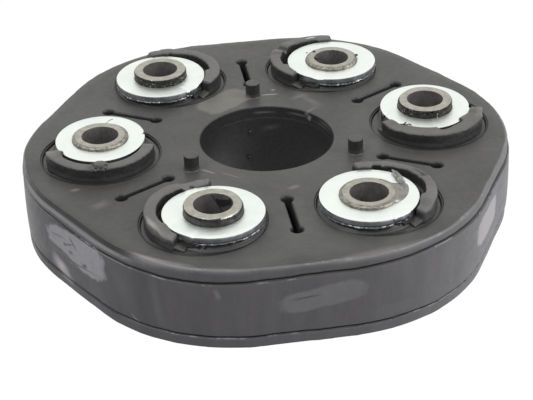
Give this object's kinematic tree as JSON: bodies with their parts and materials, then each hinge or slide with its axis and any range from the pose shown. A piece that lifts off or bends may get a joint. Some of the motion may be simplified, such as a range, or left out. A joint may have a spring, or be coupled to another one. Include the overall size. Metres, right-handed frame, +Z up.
{
  "type": "driveshaft flex disc",
  "caption": "Flexible rubber coupling disc for a driveshaft, with steel bolt sleeves and zinc-plated washers grouped in close pairs on a bolt circle round an open middle.",
  "frame": {"origin": "the middle of the disc, halfway between its two faces on the axis of the middle hole", "axes": "+Z out of the face with the locating pins, along the shaft; -Y midway between the two sleeves of one close pair; +X to the right seen with -Y towards the viewer and +Z up"},
  "size_m": [0.1622, 0.1554, 0.0414],
  "materials": {
    "rubber": "matte moulded black-grey rubber with light scuffs",
    "sleeve_steel": "turned bare steel, dark in the bore",
    "zinc_steel": "bright zinc plate",
    "cord": "wound polyester cord, hidden in the rubber"
  },
  "bodies": {
    "root": {"rubber_body": "rubber", "sleeve_1": "sleeve_steel", "upper_washer_1": "zinc_steel", "lower_washer_1": "zinc_steel", "sleeve_2": "sleeve_steel", "upper_washer_2": "zinc_steel", "lower_washer_2": "zinc_steel", "sleeve_3": "sleeve_steel", "upper_washer_3": "zinc_steel", "lower_washer_3": "zinc_steel", "sleeve_4": "sleeve_steel", "upper_washer_4": "zinc_steel", "lower_washer_4": "zinc_steel", "sleeve_5": "sleeve_steel", "upper_washer_5": "zinc_steel", "lower_washer_5": "zinc_steel", "sleeve_6": "sleeve_steel", "upper_washer_6": "zinc_steel", "lower_washer_6": "zinc_steel", "upper_close_cord_1": "cord", "upper_close_cord_2": "cord", "upper_close_cord_3": "cord", "lower_close_cord_1": "cord", "lower_close_cord_2": "cord", "lower_close_cord_3": "cord", "wide_cord_1": "cord", "wide_cord_2": "cord", "wide_cord_3": "cord"}
  },
  "joints": []
}
